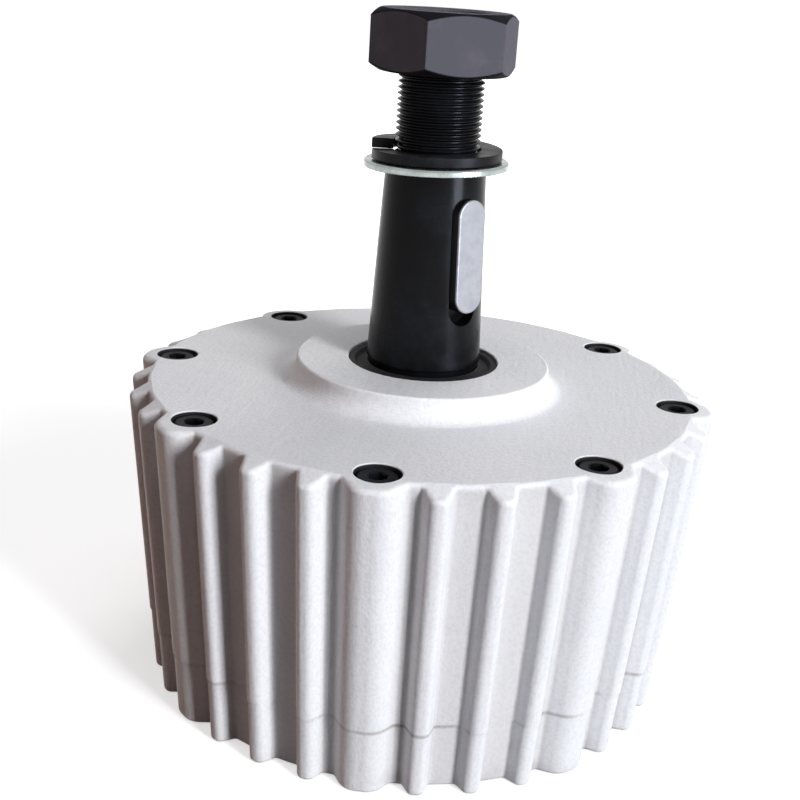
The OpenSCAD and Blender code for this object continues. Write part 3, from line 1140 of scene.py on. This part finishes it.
@dataclass(frozen=True)
class ShaftNut(Assembly):
    """The hexagon nut, chamfered on both faces."""

    body: ClassVar[Body] = Body.ROTOR
    flats: float = 46.0
    bottom_z: float = 224.3
    top_z: float = 244.8
    turn: float = 25.0
    bore_r: float = SHAFT.thread_r + 0.02
    sink: float = 1.0
    sink_depth: float = 0.6
    face_r: float = 22.3
    chamfer: float = 30.0
    edge: float = 0.35

    def build(self) -> None:
        """Makes and dresses the nut."""
        low, top, sink_r = self.bottom_z, self.top_z, self.bore_r + self.sink
        piece = Bench.stand(hexagon(self.flats, low, top), degrees=self.turn)
        reach = self.flats / 2 / cos(radians(30.0)) + SPARE
        rise = (reach - self.face_r) * tan(radians(self.chamfer))
        rings = [(self.face_r, low), (reach, low + rise), (reach, top - rise), (self.face_r, top)]
        Bench.cut(piece, Bench.turned(rings, 144), kind="INTERSECT")
        Bench.open(piece)
        Bench.select("EDGE", lambda edge: edge.calc_face_angle(0.0) > radians(20.0))
        bpy.ops.mesh.bevel(offset=self.edge * MM, segments=3, profile=0.5, clamp_overlap=True)
        Bench.heal()
        rings = [
            (sink_r + SPARE, low - SPARE), (sink_r, low), (self.bore_r, low + self.sink_depth),
            (self.bore_r, top - self.sink_depth), (sink_r, top), (sink_r + SPARE, top + SPARE),
        ]
        Bench.cut(piece, Bench.turned(rings, 96))
        self.dress(piece, "hexagon_nut", NUT_BLACK, "shaft_nut")


class Sock:
    """A shader socket on which Python arithmetic adds Math nodes."""

    def __init__(self, graph: Graph, socket: bpy.types.NodeSocket | None) -> None:
        """Wraps an output socket of a graph."""
        self.graph, self.socket = graph, socket

    def __getitem__(self, name: str) -> Sock:
        """Returns another output of the same node."""
        return Sock(self.graph, Graph.find(self.socket.node.outputs, name))

    def math(self, operation: str, *values: Value) -> Sock:
        """Adds a Math node on some values and returns its result."""
        return self.graph.node("Math", dict(enumerate(values)), operation=operation)

    def __add__(self, other: Value) -> Sock:
        """Returns self + other."""
        return self.math("ADD", self, other)

    __radd__ = __add__

    def __sub__(self, other: Value) -> Sock:
        """Returns self - other."""
        return self.math("SUBTRACT", self, other)

    def __rsub__(self, other: Value) -> Sock:
        """Returns other - self."""
        return self.math("SUBTRACT", other, self)

    def __mul__(self, other: Value) -> Sock:
        """Returns self * other."""
        return self.math("MULTIPLY", self, other)

    def __truediv__(self, other: Value) -> Sock:
        """Returns self / other."""
        return self.math("DIVIDE", self, other)

    def __pow__(self, other: Value) -> Sock:
        """Returns self to the power of other."""
        return self.math("POWER", self, other)

    def __abs__(self) -> Sock:
        """Returns the absolute value."""
        return self.math("ABSOLUTE", self)

    def ramp(self, low: float, high: float) -> Sock:
        """Rises smoothly from 0 at low to 1 at high; low may be the larger."""
        inputs = {"Value": self, "From Min": low, "From Max": high}
        return self.graph.node("MapRange", inputs, interpolation_type="SMOOTHSTEP")


Value = Sock | float | Sequence[float]


class Graph:
    """A node tree in which a finish is laid out."""

    def __init__(self, data: bpy.types.Material | bpy.types.World) -> None:
        """Gives a material or a world an empty node tree.

        Args:
            data: The material or world.
        """
        data.use_nodes = True
        self.tree = data.node_tree
        self.tree.nodes.clear()

    @staticmethod
    def find(sockets: Iterable[bpy.types.NodeSocket], name: int | str) -> bpy.types.NodeSocket:
        """Finds a socket.

        Args:
            sockets: A node's inputs or outputs.
            name: Its place, identifier or name.

        Returns:
            The socket.
        """
        if isinstance(name, int):
            return sockets[name]
        exact = [s for s in sockets if s.identifier == name]
        return (exact or [s for s in sockets if s.name == name and s.enabled])[0]

    def node(
        self, kind: str, inputs: Mapping[int | str, Value] | None = None, **settings: object
    ) -> Sock:
        """Adds a node.

        Args:
            kind: The node's type, without the ShaderNode before it.
            inputs: Values or links for its sockets.
            **settings: Its properties, which are set first.

        Returns:
            Its first output, if it has one.
        """
        made = self.tree.nodes.new(f"ShaderNode{kind}")
        for name, value in settings.items():
            setattr(made, name, value)
        for name, value in (inputs or {}).items():
            socket = self.find(made.inputs, name)
            if isinstance(value, Sock):
                self.tree.links.new(value.socket, socket)
            else:
                socket.default_value = (*value, 1.0) if socket.type == "RGBA" else value
        return Sock(self, made.outputs[0] if made.outputs else None)

    def place(self) -> Sock:
        """Gives the surface point in the object's own coordinates."""
        return self.node("TexCoord")["Object"]

    def stretched(self, scale: Point3) -> Sock:
        """Gives the surface point scaled; above 1 packs a pattern closer."""
        return self.node("Mapping", {"Vector": self.place(), "Scale": scale})

    def noise(self, point: Sock, grain: float, detail: float = 2.0, rough: float = 0.5) -> Sock:
        """Adds cloudy noise about 0.5.

        Args:
            point: Where it is looked up.
            grain: Size of its features.
            detail: Layers of finer noise.
            rough: How strong each finer layer is.

        Returns:
            The noise.
        """
        scale = 1.0 / (grain * MM)
        inputs = {"Vector": point, "Scale": scale, "Detail": detail, "Roughness": rough}
        return self.node("TexNoise", inputs)["Fac"]

    def mix(self, share: Value, first: Value, second: Value) -> Sock:
        """Mixes two colours; share is how much of the second shows."""
        inputs = {"Factor_Float": share, "A_Color": first, "B_Color": second}
        return self.node("Mix", inputs, data_type="RGBA")["Result_Color"]

    def polar(self) -> tuple[Sock, Sock, Sock, Sock]:
        """Splits the surface point into x, y, z and its distance from the axis."""
        x = self.node("SeparateXYZ", {"Vector": self.place()})
        return x, x["Y"], x["Z"], (x * x + x["Y"] * x["Y"]) ** 0.5

    def bump(self, height: Sock, depth: float, strength: float = 0.6) -> Sock:
        """Turns a height into a surface normal; a height of 1 is the depth."""
        inputs = {"Height": height, "Distance": depth * MM, "Strength": strength}
        return self.node("Bump", inputs)


@dataclass(frozen=True)
class Finish:
    """A procedural material; subclasses lay out what varies over the surface."""

    name: str
    slot: Slot
    metallic: float = 0.0
    specular: float = 0.5
    # Colour laid by the dark mask below; the paint and the key use it for painted shade.
    dark_colour: Colour = (0.010, 0.010, 0.012)

    def material(self) -> bpy.types.Material:
        """Makes the finish on first use.

        Returns:
            The finish as a material.
        """
        made = bpy.data.materials.get(self.name)
        if not made:
            made = bpy.data.materials.new(self.name)
            graph = Graph(made)
            inputs = self.surface(graph)
            # Lays the dark colour over the base colour; in the paint and the key this is painted shade.
            inputs["Base Color"] = graph.mix(self.darkened(graph), inputs["Base Color"], self.dark_colour)
            fixed = {"Metallic": self.metallic, "Specular IOR Level": self.specular}
            shader = graph.node("BsdfPrincipled", {**inputs, **fixed})
            graph.node("OutputMaterial", {"Surface": shader})
        return made

    def surface(self, graph: Graph) -> dict[str, Value]:
        """Lays out the finish.

        Args:
            graph: Where its nodes go.

        Returns:
            Values and links for the shader's inputs.
        """
        raise NotImplementedError

    def darkened(self, graph: Graph) -> Value:
        """Says where the finish is laid in its dark colour.

        Args:
            graph: Where its nodes go.

        Returns:
            1 where it is dark and 0 elsewhere.
        """
        return 0.0


@dataclass(frozen=True)
class CastPaint(Finish):
    """Satin white paint over a fine sand casting, with painted shade in its hollows and counterbores.
    """

    colour: Colour = (0.80, 0.80, 0.82)
    thin: Colour = (0.76, 0.765, 0.79)
    grain: Colour = (0.68, 0.68, 0.70)
    # Brown-grey laid as painted shade in the hollows, and as the seam line and the darker patches at
    # the foot.
    shade_seam_foot_colour: Colour = (0.30, 0.265, 0.24)

    def darkened(self, graph: Graph) -> Sock:
        """Says where painted shade goes: the walls inside the counterbores, laid black.

        Args:
            graph: Where its nodes go.

        Returns:
            1 in the painted shade and 0 elsewhere.
        """
        x, y, z, r = graph.polar()
        step = 2.0 * pi / CASTING.bosses
        turn = y.math("ARCTAN2", y, x)
        turn = turn - turn.math("ROUND", turn / step) * step
        across = r * turn.math("COSINE", turn) - CASTING.screw_circle_r * MM
        beside = r * turn.math("SINE", turn)
        away = (across * across + beside * beside) ** 0.5
        inside = away.ramp((CASTING.counterbore_r + 0.4) * MM, (CASTING.counterbore_r + 0.1) * MM)
        low, high = CASTING.head_seat_z, CASTING.face_z
        below = z.ramp((high - 0.1) * MM, (high - 0.5) * MM)
        # Painted shade: the counterbore walls, from just under the flat face down to the head seat.
        return inside * below * z.ramp((low - 1.5) * MM, (low - 1.0) * MM)

    def surface(self, graph: Graph) -> dict[str, Value]:
        """Lays out the finish, as Finish.surface says.

        Args:
            graph: Where its nodes go.

        Returns:
            Values and links for the shader's inputs.
        """
        point, (_, _, z, r) = graph.place(), graph.polar()
        sand = graph.noise(point, 1.3, 3.0, 0.6)
        skin = graph.noise(point, 9.0)
        strokes = graph.noise(graph.stretched((1.0, 0.16, 0.5)), 2.2, 2.0, 0.6)
        patches = graph.noise(point, 26.0, 4.0, 0.6)
        outside = r - (CASTING.wall_r * MM - (CASTING.face_z * MM - z) * CASTING.taper)
        # Painted shade: darkens the walls between the ribs and the ribs' roots, below the flat face.
        hollow = outside.ramp(2.6 * MM, -0.2 * MM) * outside.ramp(-2.6 * MM, -1.2 * MM)
        hollow = hollow * z.ramp((CASTING.face_z - 0.6) * MM, (CASTING.face_z - 3.0) * MM)
        seam = abs(z - CASTING.seam_z * MM).ramp(1.3 * MM, 0.1 * MM) * patches.ramp(0.40, 0.62)
        # Darker in patches towards the bottom of the wall.
        foot = z.ramp(9.0 * MM, 0.0) * outside.ramp(-9.0 * MM, -1.0 * MM) * patches.ramp(0.5, 0.7)
        # Painted shade in the hollows, with the dark seam line and the patches at the foot.
        shade_seam_and_foot = hollow * 0.31 + seam * 0.6 + foot * 0.35
        spots = sand.ramp(0.66, 0.74) * patches.ramp(0.5, 0.62) * 0.25
        shade = graph.mix(patches.ramp(0.3, 0.7) * 0.5, self.colour, self.thin)
        shade = graph.mix(sand.ramp(0.55, 0.38) * 0.45, shade, self.grain)
        return {
            "Base Color": graph.mix(shade_seam_and_foot + spots, shade, self.shade_seam_foot_colour),
            "Roughness": 0.34 + patches * 0.16 + shade_seam_and_foot * 0.3,
            "Normal": graph.bump(sand * 0.35 + skin * 0.35 + strokes * 0.3, 0.7),
        }


@dataclass(frozen=True)
class BlackOxide(Finish):
    """Black steel with fine turning marks and greasy smudges."""

    colour: Colour = (0.004, 0.004, 0.005)
    bloom: Colour = (0.008, 0.009, 0.012)
    rough: float = 0.24
    spread: float = 0.16
    mark_depth: float = 0.01
    mark_grain: float = 0.35

    def surface(self, graph: Graph) -> dict[str, Value]:
        """Lays out the finish, as Finish.surface says.

        Args:
            graph: Where its nodes go.

        Returns:
            Values and links for the shader's inputs.
        """
        point = graph.place()
        smudge = graph.noise(point, 14.0, 4.0, 0.62)
        grain = graph.noise(point, 0.9, 3.0, 0.6)
        marks = graph.noise(graph.stretched((0.02, 0.02, 1.0)), self.mark_grain, 2.0, 0.7)
        return {
            "Base Color": graph.mix(smudge.ramp(0.42, 0.7), self.colour, self.bloom),
            "Roughness": self.rough + smudge.ramp(0.35, 0.7) * self.spread + marks * 0.04,
            "Normal": graph.bump(marks * 0.7 + grain * 0.3, self.mark_depth),
        }


@dataclass(frozen=True)
class NutSteel(BlackOxide):
    """Satin black steel whose chamfers and end faces are fully black."""

    nut: ShaftNut = ShaftNut()

    def darkened(self, graph: Graph) -> Sock:
        """Says where the finish is fully black: past the nut's chamfers.

        Args:
            graph: Where its nodes go.

        Returns:
            1 where it is black and 0 elsewhere.
        """
        nut, (_, _, z, r) = self.nut, graph.polar()
        rise = (r - nut.face_r * MM) * tan(radians(nut.chamfer))
        above, below = z + rise - nut.top_z * MM, nut.bottom_z * MM + rise - z
        return above.math("MAXIMUM", above, below).ramp(-0.5 * MM, -0.1 * MM)


@dataclass(frozen=True)
class BareSteel(Finish):
    """Plain or plated steel with faint brush marks and a mottled sheen."""

    colour: Colour = (0.62, 0.62, 0.66)
    cloud: Colour = (0.50, 0.50, 0.56)
    rough: float = 0.30
    stretch: Point3 = (1.0, 1.0, 0.1)

    def surface(self, graph: Graph) -> dict[str, Value]:
        """Lays out the finish, as Finish.surface says.

        Args:
            graph: Where its nodes go.

        Returns:
            Values and links for the shader's inputs.
        """
        cloud = graph.noise(graph.place(), 5.0, 4.0, 0.65)
        brush = graph.noise(graph.stretched(self.stretch), 0.5, 2.0, 0.6)
        return {
            "Base Color": graph.mix(cloud.ramp(0.36, 0.64), self.colour, self.cloud),
            "Roughness": self.rough + cloud.ramp(0.3, 0.7) * 0.14,
            "Normal": graph.bump(brush * 0.6 + cloud * 0.4, 0.02),
        }


@dataclass(frozen=True)
class KeySteel(BareSteel):
    """Ground steel whose sides carry painted shade from the gap of the keyway."""

    def darkened(self, graph: Graph) -> Sock:
        """Says where painted shade goes: the key's sides, below the edge of its top.

        Args:
            graph: Where its nodes go.

        Returns:
            1 in the painted shade and 0 elsewhere.
        """
        a, (x, y, z, _) = radians(SHAFT.key_turn), graph.polar()
        taper_r = SHAFT.foot_r * MM - (z - SHAFT.foot_z * MM) * SHAFT.slope
        height = x * cos(a) + y * sin(a) - taper_r
        proud = SHAFT.key_h - SHAFT.keyway_depth
        # Painted shade: the sides go dark below a narrow band under the chamfer.
        return height.ramp((proud - 0.55) * MM, (proud - 0.95) * MM)


@dataclass(frozen=True)
class Rubber(Finish):
    """Matte black rubber with a fine skin."""

    colour: Colour = (0.010, 0.010, 0.011)
    dusty: Colour = (0.05, 0.048, 0.046)

    def surface(self, graph: Graph) -> dict[str, Value]:
        """Lays out the finish, as Finish.surface says.

        Args:
            graph: Where its nodes go.

        Returns:
            Values and links for the shader's inputs.
        """
        point = graph.place()
        dust = graph.noise(point, 6.0, 3.0)
        return {
            "Base Color": graph.mix(dust.ramp(0.5, 0.8) * 0.5, self.colour, self.dusty),
            "Roughness": 0.55 + dust * 0.2,
            "Normal": graph.bump(graph.noise(point, 0.8), 0.04, 0.5),
        }


# The paint's dark colour is the painted shade inside the counterbores.
PAINT = CastPaint("white_cast_paint", Slot.PAINT, specular=0.12, dark_colour=(0.018, 0.018, 0.019))
SHAFT_BLACK = BlackOxide("oiled_black_steel", Slot.BLACK, specular=0.07, rough=0.18, spread=0.08)
WASHER_BLACK = BlackOxide(
    "black_spring_steel", Slot.BLACK, specular=0.09, bloom=(0.02, 0.02, 0.023), rough=0.3
)
NUT_BLACK = NutSteel(
    "satin_black_steel", Slot.BLACK, specular=0.01, colour=(0.100, 0.098, 0.118),
    bloom=(0.130, 0.123, 0.145), rough=0.5, mark_depth=0.03, mark_grain=1.2,
)
SCREW_BLACK = BlackOxide("black_screw_steel", Slot.BLACK, specular=0.06, rough=0.34)
KEY_STEEL = KeySteel(
    "ground_key_steel", Slot.KEY, metallic=0.35, specular=0.15, colour=(0.345, 0.345, 0.36),
    cloud=(0.29, 0.29, 0.31), rough=0.34,
)
ZINC = BareSteel(
    "bright_zinc", Slot.ZINC, metallic=0.95, colour=(0.37, 0.41, 0.395), cloud=(0.29, 0.33, 0.315),
    rough=0.18, stretch=(1.0, 1.0, 1.0),
)
BEARING = BareSteel("bearing_steel", Slot.BEARING, metallic=1.0)
RUBBER = Rubber("seal_rubber_black", Slot.RUBBER, specular=0.15)


@dataclass(frozen=True)
class Lamp:
    """A soft lamp, wide and tall, that looks at the object; lengths in metres."""

    name: str
    azimuth: float
    elevation: float
    level: float
    size: Point2
    distance: float
    colour: Colour
    aim: Point3 = (0.0, 0.0, 0.09)
    gleam: bool = False

    def hang(self) -> None:
        """Hangs the lamp; its level is how light a white face turned to it gets.

        A gleam lamp shows only in gloss, and the others only in plain light.
        """
        a, e = radians(self.azimuth), radians(self.elevation)
        towards = Vector((cos(a) * cos(e), sin(a) * cos(e), sin(e)))
        turn = towards.to_track_quat("Z", "Y").to_euler()
        place = Vector(self.aim) + towards * self.distance
        bpy.ops.object.light_add(type="AREA", location=place, rotation=turn)
        lamp = named(bpy.context.object, self.name)
        lamp.visible_glossy, lamp.visible_diffuse = self.gleam, not self.gleam
        lamp.data.shape = "RECTANGLE"
        lamp.data.size, lamp.data.size_y = self.size
        lamp.data.energy = self.level * pi**2 * self.distance**2
        lamp.data.color = self.colour


@dataclass(frozen=True)
class Camera:
    """The camera: its place, its turns about X, Y and Z, and its lens."""

    place: Point3 = (54.19481, -452.27557, 262.655)
    turns: Point3 = (70.79685, -3.44931, 8.96449)
    lens: float = 57.996
    sensor: float = 36.0
    clip_start: float = 10.0

    def stand(self) -> None:
        """Sets up the camera and makes it the scene's."""
        place, turns = [c * MM for c in self.place], [radians(a) for a in self.turns]
        bpy.ops.object.camera_add(location=place, rotation=turns)
        camera = named(bpy.context.object, "camera")
        camera.data.lens, camera.data.sensor_width = self.lens, self.sensor
        camera.data.clip_start = self.clip_start * MM
        bpy.context.scene.camera = camera


@dataclass(frozen=True)
class Studio:
    """A pale floor, soft lamps, a plain world and the camera; lengths in metres."""

    camera: Camera = Camera()
    lamps: tuple[Lamp, ...] = (
        Lamp("key_lamp", 319.0, 18.0, 1.24, (0.6, 1.6), 3.0, (0.955, 0.975, 1.0)),
        Lamp(
            "gleam_lamp", 331.0, 0.0, 1.60, (0.34, 0.6), 1.0, (0.76, 0.86, 1.0),
            aim=(0.0, 0.0, 0.18), gleam=True,
        ),
        Lamp("left_lamp", 196.0, 10.0, 0.10, (1.6, 0.9), 2.4, (1.0, 0.58, 0.42)),
        Lamp("back_lamp", 72.0, 22.0, 0.42, (1.4, 1.2), 2.6, (1.0, 0.98, 0.96)),
        Lamp("top_lamp", 300.0, 80.0, 0.30, (1.6, 1.6), 2.4, (0.95, 0.96, 1.0)),
    )
    white: Colour = (1.0, 1.0, 1.0)
    ambient: Colour = (0.014, 0.0115, 0.011)
    floor_size: float = 60.0
    floor_gap: float = 0.0002
    floor_tan: Colour = (0.09, 0.040, 0.026)
    floor_cool: Colour = (0.16, 0.165, 0.19)
    floor_pale: Colour = (0.78, 0.78, 0.78)
    floor_glow: float = 0.60

    @staticmethod
    def shown(graph: Graph, lit: Sock, seen: Sock, output: str) -> None:
        """Mixes what lights the object with what camera, gloss and glass see.

        Args:
            graph: The node tree of the floor or the world.
            lit: The shader that the object's light comes from.
            seen: The shader that shows as background.
            output: The type of the output node.
        """
        ray = graph.node("LightPath")
        share = ray["Is Camera Ray"]
        for name in ("Is Glossy Ray", "Is Transmission Ray"):
            share = share.math("MAXIMUM", share, ray[name])
        both = graph.node("MixShader", {0: share, 1: lit, 2: seen})
        graph.node(output, {"Surface": both})

    def sky(self) -> None:
        """Makes the world white to look at and dim as a light."""
        world = bpy.context.scene.world = bpy.data.worlds.new("studio_world")
        graph = Graph(world)
        dim, white = [graph.node("Background", {"Color": c}) for c in (self.ambient, self.white)]
        self.shown(graph, dim, white, "OutputWorld")

    def floor(self, low: float) -> None:
        """Lays the floor at a height.

        Args:
            low: The height.
        """
        Bench.clear()
        bpy.ops.mesh.primitive_plane_add(size=self.floor_size, location=(0.0, 0.0, low))
        plane = named(bpy.context.object, "studio_floor")
        matter = bpy.data.materials.new("pale_floor")
        graph = Graph(matter)
        x, _, _, r = graph.polar()
        shade = graph.mix(x.ramp(-0.12, 0.12), self.floor_tan, self.floor_cool)
        dark, pale = [graph.node("BsdfDiffuse", {"Color": c}) for c in (shade, self.floor_pale)]
        glow = self.floor_glow + r.ramp(0.22, 0.75) * (1.0 - self.floor_glow)
        lit = graph.node("AddShader", {0: pale, 1: graph.node("Emission", {"Strength": glow})})
        self.shown(graph, dark, lit, "OutputMaterial")
        plane.data.materials.append(matter)
        plane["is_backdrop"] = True

    def build(self, low: float) -> None:
        """Sets up the whole studio.

        Args:
            low: Height of the object's lowest point.
        """
        bpy.context.scene.view_settings.view_transform = "Standard"
        self.camera.stand()
        self.sky()
        self.floor(low - self.floor_gap)
        for lamp in self.lamps:
            lamp.hang()


def main() -> None:
    """Builds the generator on its frame, then the studio."""
    logging.basicConfig(level=logging.INFO, format="%(name)s: %(message)s")
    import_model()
    cad_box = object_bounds()
    housing = (FrontHousing(), RearHousing(), HousingScrews(), ShaftSeal(), RearCover(), Bearings())
    rotor = (SHAFT, Washers(), ShaftNut())
    for assembly in (*housing, *rotor):
        assembly.build()
    Studio().build(cad_box[0][2])


if __name__ == "__main__":
    main()
